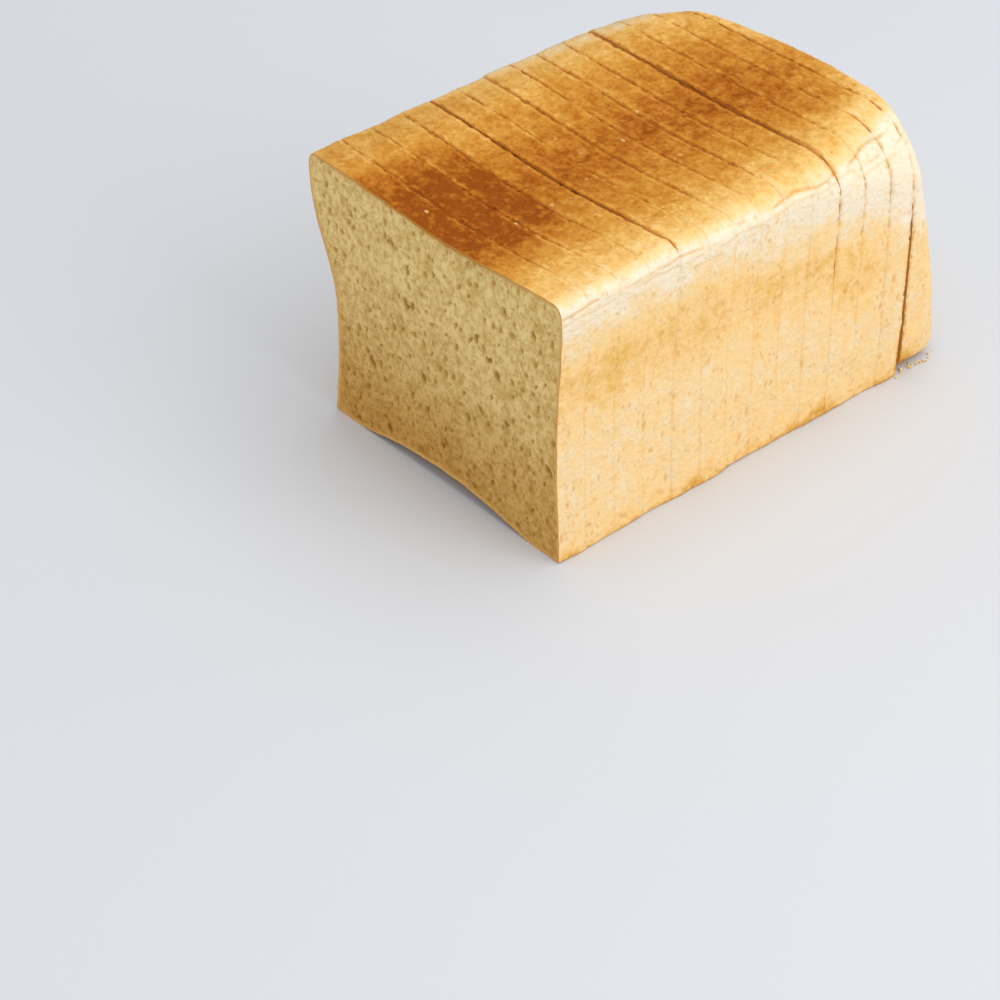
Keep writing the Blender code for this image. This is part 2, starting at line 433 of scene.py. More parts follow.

# The cream shoulder, pale crust with a painted highlight: how low it reaches on the walls, and how it
# widens toward the heel
CREAM_HEIGHT = 0.0820
CREAM_DROP = 0.0270
CREAM_DROP_ALONG = (0.0600, 0.1)
CREAM_FADE = (-0.0170, 0.0060)
CREAM_INWARD = 0.0130
CREAM_INWARD_ALONG = (0.0900, 0.06)
CREAM_INWARD_ACROSS = (0.01, 0.045)
LEFT_INWARD = 0.0100
LEFT_INWARD_ALONG = (0.0300, 0.12)
LEFT_INWARD_ACROSS = (0.02, 0.05)

# How far the crust faces up where the top's browning takes over, and down where the base's does
TOP_FROM = (0.40, 0.85)
BASE_FROM = (0.3, 0.9)

# Noise in the browning: strength, size and scale in height, where less than 1 draws it out
TOP_CLOUDS = (0.055, 0.010, 0.4)
TOP_GRAIN = (0.035, 0.0035, 1)
WALL_CLOUDS = (0.035, 0.012, 0.45)
WALL_DRIFT = (0.004, 0.014, 1)
CREAM_DRIFT = (0.0035, 0.0060, 1)

# Painted shade darkens the top's left edge between these places, where it faces up by this much, for the
# light that the tilted edge misses
LEFT_SHADE_ACROSS = (0.037, 0.053)
LEFT_SHADE_FROM = (0.1, 0.6)

# How much browner each slice is than its neighbours, and last the heel, where it is brown at all
TONE_FROM = (0.2, 0.5)
SLICE_TONE = (0.0, 0.0, 0.0, 0.02, 0.05, 0.02, 0.0, 0.04, 0.0, 0.02, 0.03, 0.03, -0.02, -0.14)

# The heel's top pales between these places from the open face, and the loaf's base is browner
HEEL_PALES = (0.1500, 0.1640)
HEEL_PALER = 0.30
BASE_BROWNER = 0.30

# How open each cut looks, on the top and on the walls: 0 where it has closed up, 1 where it gapes
OPEN_ON_TOP = (0.0, 0.40, 0.30, 0.35, 0.85, 0.40, 0.70, 0.50, 0.70, 0.65, 0.95, 0.55, 0.60, 0.55)
OPEN_ON_WALL = (0.0,) * 10 + (0.70, 0.30, 0.50, 1.0)

# How much of a cut's opening is left where it reaches the right shoulder
OPEN_AT_SHOULDER = {4: 0.75, 10: 1.0, 11: 0.4, 12: 0.9, 13: 0.8}
OPEN_AT_OTHERS = 0.12

# Cuts that gape deeper than the others, and the heel's, which is open below these heights
WIDE_CUTS = (4, 10)
OPEN_BELOW = (13,)
HEEL_GAP_ENDS = (0.056, 0.076)

# Raised pale rims along a cut, on the top
CUT_LIP = (0.0, 0.45, 0.95, 0.40, 0.15, 0.70, 0.20, 0.40, 0.15, 0.25, 0.10, 0.30, 0.30, 0.20)


def uneven(points, kind, seed):
    """Noise of one kind: its strength, its size and its scale in height."""
    strength, size, squeeze = kind
    return strength * layered_noise(points * (1, 1, squeeze), size, seed)


def browning(points, up, number, crust):
    """How brown the crust of this slice is, at points whose surface faces up by this much."""
    x, y, z = points.T
    inward = CREAM_INWARD * climb(y, *CREAM_INWARD_ALONG) ** 2 * smooth(x, *CREAM_INWARD_ACROSS)
    far_left = climb(y, *LEFT_INWARD_ALONG) * smooth(-x, *LEFT_INWARD_ACROSS)
    across = np.interp(x + inward - LEFT_INWARD * far_left, ACROSS_TOP, BROWN_ACROSS)
    across += DARK_TONE.get(number, 0.0) * smooth(x, *DARK_START) * (1 - smooth(x, *DARK_END))
    tone = SLICE_TONE[number - 1] - HEEL_PALER * smooth(y, *HEEL_PALES)
    across += tone * smooth(across, *TONE_FROM)
    for patch_x, patch_y, width, length, strength in PATCHES:
        across += strength * bell(x, patch_x, width) * bell(y, patch_y, length)
    across += uneven(points, TOP_CLOUDS, crust.seed + number)
    across += uneven(points, TOP_GRAIN, crust.seed + 10)
    drift = uneven(points, WALL_DRIFT, crust.seed + 20)
    wall = np.interp(z + drift, UP_WALL, BROWN_UP_WALL)
    for patch_z, patch_y, tall, length, strength in WALL_PATCHES:
        wall += strength * bell(z, patch_z, tall) * bell(y, patch_y, length) * (x > 0)
    wall += uneven(points, WALL_CLOUDS, crust.seed + 30)
    cream_from = CREAM_HEIGHT - CREAM_DROP * climb(y, *CREAM_DROP_ALONG) ** 2
    fade_start, fade_end = [cream_from + end for end in CREAM_FADE]
    wall *= 1 - smooth(z + drift + uneven(points, CREAM_DRIFT, crust.seed + 35), fade_start, fade_end)
    wall += BASE_BROWNER * smooth(-up, *BASE_FROM)
    return np.clip(mix(wall, across, smooth(up, *TOP_FROM)), 0, 1)


# Broken creases along the right shoulder: height and strength, then how they wander and break off
CREASES = ((0.0896, 1.0), (0.0872, 0.55), (0.0850, 0.35))
CREASE_WANDER = (0.0010, 0.012)
CREASE_BREAK_SIZE = 0.0060
CREASE_BREAKS = (-0.35, 0.15)
CREASE_WIDTH = 0.00036
CREASE_ENDS = (0.8, 0.95)

# Round marks: distance apart, smallest and largest half width, share of places that have one
PITS = (0.0026, 0.0004, 0.0009, 0.40)
HOLES = (0.0062, 0.0003, 0.0009, 0.32)
FLECKS = (0.0052, 0.0005, 0.0012, 0.16)
CHIPS = (0.0026, 0.0006, 0.0015, 0.70)

# Pits are tall, and most lie low on the walls, below these heights
PIT_SQUEEZE = 0.36
PIT_HEIGHTS = (0.040, 0.080)
PITS_ABOVE = 0.15

# Sizes of the relief's bumps, and how far each kind stands out or in, as a share of the relief
SWELL_SIZE = 0.011
SWELL = 1.5
GRAIN_SIZE = 0.0024
GRAIN_ON_WALL = 0.5
GRAIN_ON_TOP = 1.1
PIT_DEPTH = 0.5
HOLE_DEPTH = 3.5
FLECK_RISE = 0.9
CREASE_DEPTH = 1.1


def crust_relief(points, up, crust):
    """How far the crust stands out or in, and the pits and flecks that it carries."""
    y, z = points[:, 1], points[:, 2]
    seed = crust.seed
    top = smooth(up, 0.5, 0.95)
    swell = SWELL * layered_noise(points, SWELL_SIZE, seed + 40)
    grain = mix(GRAIN_ON_WALL, GRAIN_ON_TOP, top) * layered_noise(points, GRAIN_SIZE, seed + 50, 2)
    low_wall = (1 - smooth(z, *PIT_HEIGHTS)) * (1 - smooth(np.abs(up), 0.2, 0.5))
    pits = spots(points * (1, 1, PIT_SQUEEZE), *PITS, seed + 60)
    pits *= mix(PITS_ABOVE, 1.0, low_wall) * (1 - smooth(np.abs(up), 0.3, 0.6))
    holes = spots(points, *HOLES, seed + 70) * top
    flecks = spots(points * (1, 1.5, 1), *FLECKS, seed + 80) * top
    crease = np.zeros(len(points))
    reach, size = CREASE_WANDER
    for strand, (strand_z, strength) in enumerate(CREASES):
        line_z = strand_z + reach * layered_noise(np.stack([y], 1), size, seed + 90 + 5 * strand)
        breaks = layered_noise(points, CREASE_BREAK_SIZE, seed + 92 + 5 * strand)
        line = strength * bell(z, line_z, CREASE_WIDTH) * smooth(breaks, *CREASE_BREAKS)
        crease = np.maximum(crease, line)
    crease *= (points[:, 0] > 0.02) * (1 - smooth(up, *CREASE_ENDS))
    stand = swell + grain - PIT_DEPTH * pits - HOLE_DEPTH * holes + FLECK_RISE * flecks
    marked = np.max([0.75 * pits, 0.85 * crease, holes], axis=0)
    return crust.relief * (stand - CREASE_DEPTH * crease), marked, flecks


# The crumb's pores on a cut face, in the plane of the cut

# Large pores of the open face: across, up, half width, half height, lean in degrees
OPEN_PORES = (
    (-0.0185, 0.0790, 0.0010, 0.0022, 24),
    (-0.0120, 0.0728, 0.0009, 0.0024, 14),
    (-0.0102, 0.0610, 0.0010, 0.0020, -6),
    (0.0330, 0.0800, 0.0009, 0.0014, 10),
    (0.0200, 0.0640, 0.0009, 0.0014, -10),
    (0.0250, 0.0590, 0.0009, 0.0016, 12),
    (0.0010, 0.0770, 0.0007, 0.0011, 10),
    (0.0150, 0.0330, 0.0009, 0.0014, 20),
    (0.0330, 0.0400, 0.0011, 0.0014, 10),
)

# Layers of pores: spacing, smallest and largest half width, share of places, elongation, lean, depth
PORE_LAYERS = (
    (0.0019, 0.00032, 0.00075, 0.85, 1.5, 12, 0.32),
    (0.0040, 0.00060, 0.00125, 0.60, 1.7, -14, 0.62),
    (0.0140, 0.00100, 0.00190, 0.35, 1.8, 18, 1.0),
)

# How the pores waver, across and up, as distance and size, and the fine web over them
WANDER_ACROSS = (0.0007, 0.0022)
WANDER_UP = (0.0009, 0.0026)
WEB_SIZE = 0.0016
WEB_DEPTH = 0.00012


def leaned(across, up, lean, longer):
    """Coordinates in which a leaning, elongated pore is round."""
    angle = math.radians(lean)
    side = across * math.cos(angle) + up * math.sin(angle)
    along = -across * math.sin(angle) + up * math.cos(angle)
    return np.stack([side, along / longer], 1)


def crumb_pores(across, up, number, finish):
    """How deep the pores are at places on a cut, and the same as a share of the deepest."""
    depth = np.zeros(len(across))
    seed = finish.seed + 100 * number
    flat = np.stack([across, up], 1)
    (side_reach, side_size), (up_reach, up_size) = WANDER_ACROSS, WANDER_UP
    across = across + side_reach * layered_noise(flat, side_size, seed + 80)
    up = up + up_reach * layered_noise(flat, up_size, seed + 85)
    for layer, (spacing, small, large, share, longer, lean, deep) in enumerate(PORE_LAYERS):
        places = leaned(across, up, lean, longer)
        depth = np.maximum(depth, deep * spots(places, spacing, small, large, share, seed + 20 * layer))
    if number == 0:
        for pore_x, pore_z, width, tall, lean in OPEN_PORES:
            side, along = leaned(across - pore_x, up - pore_z, lean, 1).T
            inside = 1 - (side / width) ** 2 - (along / tall) ** 2
            depth = np.maximum(depth, np.clip(inside, 0, 1) ** 0.7)
    web = 0.5 + 0.5 * layered_noise(flat, WEB_SIZE, seed + 70)
    return finish.pore_depth * depth + WEB_DEPTH * web, depth


# Meshes: a band of rings through the piece, closed in front and behind by grids over its outline

def patch_grid(ring, across_steps, up_steps):
    """A grid of points that fills a ring, given the steps along its four sides."""
    closed = np.concatenate([ring, ring[:1]])
    right = closed[: up_steps + 1]
    top = closed[up_steps : up_steps + across_steps + 1][::-1]
    left = closed[up_steps + across_steps : 2 * up_steps + across_steps + 1][::-1]
    base = closed[2 * up_steps + across_steps :]
    u = np.linspace(0, 1, across_steps + 1)[:, None, None]
    v = np.linspace(0, 1, up_steps + 1)[None, :, None]
    rows = mix(base[:, None], top[:, None], v)
    columns = mix(left[None], right[None], u)
    corners = mix(mix(base[0], base[-1], u), mix(top[0], top[-1], u), v)
    return rows + columns - corners


def ring_numbers(across_steps, up_steps):
    """The ring's vertex numbers at the rim of its grid, and -1 inside."""
    count = 2 * (across_steps + up_steps)
    numbers = np.full((across_steps + 1, up_steps + 1), -1)
    across = np.arange(across_steps + 1)
    up = np.arange(up_steps + 1)
    numbers[:, 0] = (2 * up_steps + across_steps + across) % count
    numbers[:, -1] = up_steps + across_steps - across
    numbers[0, :] = 2 * up_steps + across_steps - up
    numbers[-1, :] = up
    return numbers


def ring_run(start, end, coarser, count):
    """Ring vertices strictly between two that are one coarse step apart."""
    way = 1 if (end - start) % count == coarser else -1
    return [(start + way * i) % count for i in range(1, coarser)]


def cap_faces(numbers, rim, coarser, count, ring_start, flip):
    """Faces over a coarse grid whose rim cells take in all of the ring's vertices."""
    cells = np.stack([numbers[:-1, :-1], numbers[1:, :-1], numbers[1:, 1:], numbers[:-1, 1:]], 2)
    inside = np.full(cells.shape[:2], coarser == 1)
    inside[1:-1, 1:-1] = True
    faces = cells[inside].tolist()
    rim_cells = np.stack([rim[:-1, :-1], rim[1:, :-1], rim[1:, 1:], rim[:-1, 1:]], 2)
    for cell, rims in zip(cells[~inside].tolist(), rim_cells[~inside].tolist()):
        face = []
        for i in range(4):
            face.append(cell[i])
            start, end = rims[i], rims[(i + 1) % 4]
            if start >= 0 and end >= 0:
                face += [ring_start + k for k in ring_run(start, end, coarser, count)]
        faces.append(face)
    return [face[::-1] for face in faces] if flip else faces


def rim_distance(grid):
    """How far each point of a grid lies from the grid's nearest edge."""
    edges = (grid[:1], grid[-1:], grid[:, :1], grid[:, -1:])
    return np.min([np.linalg.norm(grid - edge, axis=2) for edge in edges], axis=0)


def outward(rings):
    """Unit vectors that point out of a band of rings."""
    along = np.roll(rings, -1, axis=1) - np.roll(rings, 1, axis=1)
    through = np.gradient(rings, axis=0)
    across = np.cross(through, along)
    return across / np.maximum(np.linalg.norm(across, axis=2, keepdims=True), 1e-12)


def crowded_steps(count):
    """Shares from 0 to 1, closer together at both ends."""
    even = np.linspace(0, 1, count + 1)
    return mix(even, 0.5 - 0.5 * np.cos(math.pi * even), EDGE_CROWDING)


# Values that the pieces' points carry for the materials
VALUES = ("brown", "dull", "pit", "fleck", "seam", "rim", "pore", "warm")


class Piece:
    """The points, faces and named values of one piece while it is made."""

    def __init__(self):
        self.points = []
        self.values = {name: [] for name in VALUES}
        self.crust_faces = []
        self.crumb_faces = []

    def add(self, points, **values):
        """Adds points with their values, and gives the number of the first."""
        first = sum(len(added) for added in self.points)
        self.points.append(points)
        for name, stored in self.values.items():
            stored.append(np.broadcast_to(values.get(name, 0.0), (len(points),)))
        return first


# On the walls a cut opens up between these heights, from this share of its opening
WALL_CUT_HEIGHTS = (0.045, 0.075)
LOW_CUT_LEFT = 0.08
HEEL_CUT_LEFT = 0.35

# The top's opening goes on at the left edge down to these heights, and narrows at the right shoulder
LEFT_EDGE_HEIGHTS = (0.070, 0.086)
LEFT_EDGE_LEFT = 0.8
SHOULDER_ACROSS = (0.028, 0.048)

# How much of a cut's opening comes and goes, in short and in long waves: strength and size
SHORT_WAVES = (1.1, 0.0026)
LONG_WAVES = (0.35, 0.012)

# How far a cut's edge sinks where it is shut, gapes or is chipped, and how far its rims stand out
EDGE_REACH = 0.6 * MM
SHUT_SINK = 0.00003
GAPE_SINK = 0.00020
CHIP_SINK = 0.00048
RIDGE_RISE = 0.00010
LIP_RISE = 0.00026

# Where the ridge, the golden line and the pale lip lie beside a cut: distance and half width
RIDGE_LINE = (1.5 * MM, 0.8 * MM)
GOLDEN_LINE = (1.1 * MM, 0.5 * MM)
LIP_DISTANCE = 0.65 * MM
LIP_WAVER = (0.35 * MM, 0.0015)
LIP_WIDTH = 0.50 * MM
LIP_SIZE = 0.0030

# Half width and strength of the seam's colour, where it is shut and where it is marked
SEAM_WIDTHS = (0.40 * MM, 0.75 * MM)
SEAM_STRENGTHS = (0.22, 1.0)

# How near the sides of a shut cut come, how far gaping and chipped ones draw back, and how pale lips are
SHUT_GAP = 0.005 * MM
GAPE_PULL = 0.00004
CHIP_PULL = 0.00026
LIP_PALER = 0.40


def cut_openness(flat, upness, number, wide_here):
    """How open a cut is, from 0 shut to 1, before it comes and goes."""
    x, z = flat[:, 0], flat[:, 2]
    if number in OPEN_BELOW:
        left_over = mix(HEEL_CUT_LEFT, 1.0, wide_here)
    else:
        left_over = mix(LOW_CUT_LEFT, 1.0, smooth(z, *WALL_CUT_HEIGHTS))
    left_edge = LEFT_EDGE_LEFT * OPEN_ON_TOP[number] * (x < 0) * smooth(z, *LEFT_EDGE_HEIGHTS)
    on_wall = np.maximum(OPEN_ON_WALL[number] * left_over, left_edge)
    at_shoulder = OPEN_AT_SHOULDER.get(number, OPEN_AT_OTHERS)
    on_top = OPEN_ON_TOP[number] * mix(1.0, at_shoulder, smooth(x, *SHOULDER_ACROSS))
    return mix(on_wall, on_top, smooth(upness, 0.35, 0.8))


def cut_edge(flat, upness, edge, number, shape, crust):
    """How the crust is near a cut: its sinking, pull toward the cut, seam, pale lip and dark chips."""
    z = flat[:, 2]
    seed = crust.seed + 200 + 10 * number
    wide_here = 1 - smooth(z, *HEEL_GAP_ENDS) if number in OPEN_BELOW else 0.0
    open_here = cut_openness(flat, upness, number, wide_here)
    (strong, short), (weak, long) = SHORT_WAVES, LONG_WAVES
    wander = strong * layered_noise(flat, short, seed) + weak * soft_noise(flat, long, seed + 3)
    wander *= smooth(open_here, 0.05, 0.3) * (1 - 0.6 * smooth(open_here, 0.85, 1.0))
    gape = np.clip(open_here + wander, 0, 1)
    half_gap = gap_at(number, z, shape) / 2
    chips = spots(flat, *CHIPS, seed + 5) * gape
    on_top = smooth(upness, 0.6, 0.9)
    lips = CUT_LIP[number] * smooth(layered_noise(flat, LIP_SIZE, seed + 7), -0.1, 0.5) * on_top
    near = bell(edge, 0, EDGE_REACH)
    ridge = bell(edge, *RIDGE_LINE) * smooth(upness, 0.5, 0.9)
    reach, size = LIP_WAVER
    lip_at = LIP_DISTANCE + reach * soft_noise(flat, size, seed + 9)
    lip = bell(edge, lip_at, LIP_WIDTH) * lips
    sink = near * (SHUT_SINK + GAPE_SINK * gape + CHIP_SINK * chips) - RIDGE_RISE * ridge - LIP_RISE * lip
    apart = gape * mix(0.25, 1.0, np.maximum(smooth(upness, 0.6, 0.95), wide_here))
    pull = mix(half_gap - SHUT_GAP, -GAPE_PULL - CHIP_PULL * chips, apart)
    pull *= bell(edge, 0, 0.5 * MM + 1.5 * half_gap)
    marked = np.maximum(gape, chips)
    seam = bell(edge, 0, mix(*SEAM_WIDTHS, marked)) * mix(*SEAM_STRENGTHS, marked)
    golden = bell(edge, *GOLDEN_LINE) * on_top * smooth(gape, 0.25, 0.7)
    return sink, pull, seam, np.maximum(lip, 0.5 * golden), near * chips


def add_band(piece, rings, cuts, number, shape, crust):
    """The crust round a piece, with its seams where the cuts meet it."""
    normals = outward(rings).reshape(-1, 3)
    depth, count = rings.shape[:2]
    flat = rings.reshape(-1, 3)
    upness = normals[:, 2]
    relief, pits, flecks = crust_relief(flat, upness, crust)
    seam, pull, lips = np.zeros((3, len(flat)))
    for column, cut, inward in cuts:
        if cut > 0:
            edge = np.linalg.norm(rings - rings[column], axis=2).reshape(-1)
            sink, toward, line, lip, chips = cut_edge(flat, upness, edge, cut, shape, crust)
            relief -= sink
            pull -= toward * inward
            seam = np.maximum(seam, line)
            lips = np.maximum(lips, lip)
            pits = np.maximum(pits, chips * smooth(upness, 0.5, 0.8))
    moved = flat + normals * relief[:, None]
    moved[:, 1] += pull
    moved[:, 2] = np.maximum(moved[:, 2], 0)
    brown = browning(flat, upness, number, crust) * (1 - LIP_PALER * lips)
    # Painted shade on the top's left edge, which tilts away from the lights
    dull = smooth(-flat[:, 0], *LEFT_SHADE_ACROSS) * smooth(upness, *LEFT_SHADE_FROM)
    piece.add(moved, brown=brown, dull=dull, pit=pits, fleck=flecks, seam=seam, rim=1.0)
    numbers = np.arange(depth * count).reshape(depth, count)
    near, far = numbers[:-1], numbers[1:]
    quads = np.stack([near, far, np.roll(far, -1, axis=1), np.roll(near, -1, axis=1)], 2)
    piece.crust_faces += quads.reshape(-1, 4).tolist()
    return moved.reshape(depth, count, 3)


def close_face(piece, ring_start, ring, steps, coarser, points_of, flip):
    """Fills a ring with a grid whose new points and values come from points_of."""
    grid = patch_grid(ring, *steps[:2])[::coarser, ::coarser]
    rim = ring_numbers(*steps[:2])[::coarser, ::coarser]
    inner = rim < 0
    away = rim_distance(grid)
    points, values = points_of(grid[inner], away[inner])
    numbers = rim + ring_start
    numbers[inner] = piece.add(points, **values) + np.arange(inner.sum())
    return cap_faces(numbers, rim, coarser, len(ring), ring_start, flip)


# How far inside the crust the pores start
PORES_START = (0.4 * MM, 1.6 * MM)

# How far inside it a cut closes up, in mm, at a usual cut and at a wide one, and the gap that stays
CLOSING_START = (0.1, 1.4)
CLOSING_END = (0.9, 4.0)
CLOSED_GAP = 0.03 * MM

# Wide cuts are deep at the top, from this height on and up to this far across
DEEP_FROM = (0.080, 0.088)
DEEP_ACROSS = (0.026, 0.042)

# Painted shade and warm bounce light low in the crumb, as from loose slices in front that are not built:
# how high it reaches, its wander, and what the crust adds beside it
SHADE_HEIGHTS = (0.006, 0.078)
SHADE_WANDER = (0.006, 0.02)
SHADE_POWER = 1.3
SHADE_AT_RIGHT = 0.85
WARM_AT_CRUST = 0.22
WARM_CRUST_REACH = 0.003

# How uneven the rim is, how much wider inside the row, and at which heights it takes the top's brown
RIM_UNEVEN = (0.35, 0.003)
INNER_RIM_WIDER = 3
RIM_BROWN_FROM = (0.086, 0.092)


def add_cut_face(piece, ring_start, ring, cut, side, steps, coarser, number, shape, crumb, crust):
    """The crumb on one side of a cut."""

    def crumb_points(points, away):
        """Crumb at these points of the cut, which lie this far from the crust."""
        x, _, z = points.T
        depth, share = crumb_pores(x, z, cut, crumb)
        fade = smooth(away, *PORES_START)
        spare = np.maximum(gap_at(cut, z, shape) / 2 - CLOSED_GAP, 0)
        deep = (cut in WIDE_CUTS) * smooth(z, *DEEP_FROM) * (1 - smooth(x, *DEEP_ACROSS))
        closing = spare * smooth(away, mix(*CLOSING_START, deep) * MM, mix(*CLOSING_END, deep) * MM)
        if cut in OPEN_BELOW:
            closing *= smooth(z, *HEEL_GAP_ENDS)
        y = cut_face(shape, cut, z, side) + side * (depth * fade - closing)
        uneven_by, size = RIM_UNEVEN
        ragged = away * (1 + uneven_by * layered_noise(points, size, crumb.seed + 50))
        brown = browning(points, smooth(z, *RIM_BROWN_FROM), number, crust)
        width = crumb.rim_width * (1 if cut == 0 else INNER_RIM_WIDER)
        # Painted shade and warm bounce light, strongest at the base and weaker at the right, and a darker
        # tone beside the crust
        reach, size = SHADE_WANDER
        drift = reach * soft_noise(points, size, crumb.seed + 60)
        low = (1 - smooth(z + drift, *SHADE_HEIGHTS)) ** SHADE_POWER
        warm = low * mix(1.0, SHADE_AT_RIGHT, smooth(x, -0.02, 0.04))
        warm += WARM_AT_CRUST * np.exp(-away / WARM_CRUST_REACH)
        # The pore value paints shade in the pores, by their depth
        values = {"rim": np.exp(-ragged / width), "pore": share * fade, "brown": brown, "warm": warm}
        return np.stack([x, y, z], 1), values

    flip = side < 0
    piece.crumb_faces += close_face(piece, ring_start, ring, steps, coarser, crumb_points, flip)


def in_scene(name, data):
    """A new object in the scene."""
    thing = bpy.data.objects.new(name, data)
    bpy.context.scene.collection.objects.link(thing)
    return thing


def finish_piece(name, piece, offset, ring_starts, ring_count, materials):
    """The finished object: its mesh, values, sharp cut edges, materials and place in the frame."""
    mesh = bpy.data.meshes.new(name)
    points = np.concatenate(piece.points) + offset
    mesh.from_pydata(points.tolist(), [], piece.crust_faces + piece.crumb_faces)
    for value_name, stored in piece.values.items():
        layer = mesh.attributes.new(value_name, "FLOAT", "POINT")
        layer.data.foreach_set("value", np.concatenate(stored).astype(np.float32))
    kinds = np.zeros(len(mesh.polygons), np.int32)
    kinds[len(piece.crust_faces) :] = 1
    mesh.polygons.foreach_set("material_index", kinds)
    mesh.shade_smooth()
    edges = np.zeros(2 * len(mesh.edges), np.int32)
    mesh.edges.foreach_get("vertices", edges)
    edges = edges.reshape(-1, 2)
    sharp = np.zeros(len(edges), bool)
    for start in ring_starts:
        sharp |= ((edges >= start) & (edges < start + ring_count)).all(axis=1)
    layer = mesh.attributes.new("sharp_edge", "BOOLEAN", "EDGE")
    layer.data.foreach_set("value", sharp)
    for material in materials:
        mesh.materials.append(material)
    mesh.update()
    thing = in_scene(name, mesh)
    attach(thing, "root")
    return thing


def slice_draws(shape):
    """Height, widening and sideways shift of each slice, and last of the heel."""
    draw = random.Random(SLICE_SEED)
    rows = []
    for _ in shape.slice_thickness:
        height = shape.height + draw.uniform(-HEIGHT_CHANGE, HEIGHT_CHANGE)
        wider = draw.uniform(-WIDTH_CHANGE, WIDTH_CHANGE)
        rows.append((height, wider, draw.uniform(-SIDE_SHIFT, SIDE_SHIFT)))
    return np.array(rows + [(shape.height, 0.0, 0.0)])


def slice_rings(number, shape, steps):
    """Rings through a slice, level with its neighbours' where they meet."""
    draws = slice_draws(shape)
    own = draws[number - 1]
    pairs = []
    for cut, side, next_row in ((number - 1, 1, max(number - 2, 0)), (number, -1, number)):
        halfway = mix(own, draws[next_row], 0.5)
        pairs.append([cut_ring(shape, cut, side, SLICE_FOOT_EDGE, *row, steps) for row in (own, halfway)])
    (near, level_near), (far, level_far) = pairs
    rings = []
    for share in crowded_steps(steps[2]):
        level = abs(2 * share - 1) ** 3
        rings.append(mix(mix(near, far, share), mix(level_near, level_far, share), level))
    return np.stack(rings)


def make_slice(number, shape, crust, crumb, materials):
    """One slice between its two cuts."""
    steps = OPEN_SLICE_STEPS if number == 1 else SLICE_STEPS
    coarser = OPEN_SLICE_COARSER if number == 1 else SLICE_COARSER
    rings = slice_rings(number, shape, steps)
    piece = Piece()
    cuts = ((0, number - 1, 1), (steps[2], number, -1))
    moved = add_band(piece, rings, cuts, number, shape, crust)
    count = rings.shape[1]
    last_start = steps[2] * count
    faces = ((0, moved[0], number - 1, 1), (last_start, moved[-1], number, -1))
    for (start, ring, cut, side), coarse in zip(faces, coarser):
        add_cut_face(piece, start, ring, cut, side, steps, coarse, number, shape, crumb, crust)
    name = f"slice_{number:02d}"
    starts = (0, last_start)
    made = finish_piece(name + "_bread", piece, loaf_offset(shape), starts, count, materials)
    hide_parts(name)
    return made


def edge_radius(z, height):
    """Rounding of the heel's far edge, large at the top, less at the walls and the base."""
    up = climb(z, WAIST_HEIGHT, height - WAIST_HEIGHT)
    down = np.clip(1 - z / WAIST_HEIGHT, 0, None)
    return mix(mix(EDGE_AT_WALLS, EDGE_AT_TOP, up**2), EDGE_AT_BASE, down**2)


def heel_face(x, z, shape):
    """How far from the open face the heel's leaning far face lies."""
    aside = np.abs(x - LEAN_CENTRE) / LEAN_HALF_WIDTH
    up = np.clip(z, 0, None) / shape.height
    lean = (FACE_LEAN + SIDE_LEAN * aside**SIDE_POWER) * up**LEAN_POWER
    spare = shape.heel_thickness - lean - THINNEST_HEEL
    thickness = THINNEST_HEEL + (spare + np.hypot(spare, THINNING_EASE)) / 2
    return loaf_length(shape) - shape.heel_thickness + thickness


def heel_rings(shape):
    """Rings from the heel's cut, along its walls and round its far edge."""
    last_cut = len(shape.slice_thickness)
    start = cut_ring(shape, last_cut, 1, HEEL_FOOT_EDGE, shape.height, 0, 0, HEEL_STEPS)
    x, near, z = start.T
    middle = shape.height / 2
    radius = edge_radius(z, shape.height)
    reach = np.hypot(x, z - middle)
    rings = []
    for turn in np.linspace(0, math.pi / 2, HEEL_STEPS[2] - HEEL_WALL_STEPS + 1):
        shrink = 1 - radius * (1 - math.cos(turn)) / reach
        new_x = x * shrink
        new_z = middle + (z - middle) * shrink
        depth = heel_face(new_x, new_z, shape) - near
        straight = np.maximum(depth * STRAIGHT_SHARE, depth - radius)
        y = near + straight + (depth - straight) * math.sin(turn)
        rings.append(np.stack([new_x, y, new_z], 1))
    shares = (np.arange(HEEL_WALL_STEPS) / HEEL_WALL_STEPS) ** HEEL_CROWDING
    return np.stack([mix(start, rings[0], share) for share in shares] + rings)


# How far up the far face turns between these heights, and how wide a strip settles to its rim
FACE_TURN = 0.5
FACE_TURN_HEIGHTS = (0.030, 0.100)
FACE_SETTLE = 3 * MM


def add_heel_face(piece, ring_start, ring, number, shape, crust):
    """The crust over the heel's far face, level with the ring round it."""
    offset_y = ring[:, 1] - heel_face(ring[:, 0], ring[:, 2], shape)

    def face_points(points, away):
        """Crust at these points of the far face."""
        x, _, z = points.T
        y = heel_face(x, z, shape)
        flat = np.stack([x, y, z], 1)
        upness = smooth(z, *FACE_TURN_HEIGHTS) * FACE_TURN
        relief, pits, flecks = crust_relief(flat, upness, crust)
        settle = np.exp(-away / FACE_SETTLE) * float(np.mean(offset_y))
        brown = browning(flat, upness, number, crust)
        values = {"brown": brown, "pit": pits, "fleck": flecks}
        return np.stack([x, y + relief * (1 - np.exp(-away / MM)) + settle, z], 1), values

    coarser = HEEL_COARSER[1]
    piece.crust_faces += close_face(piece, ring_start, ring, HEEL_STEPS, coarser, face_points, True)


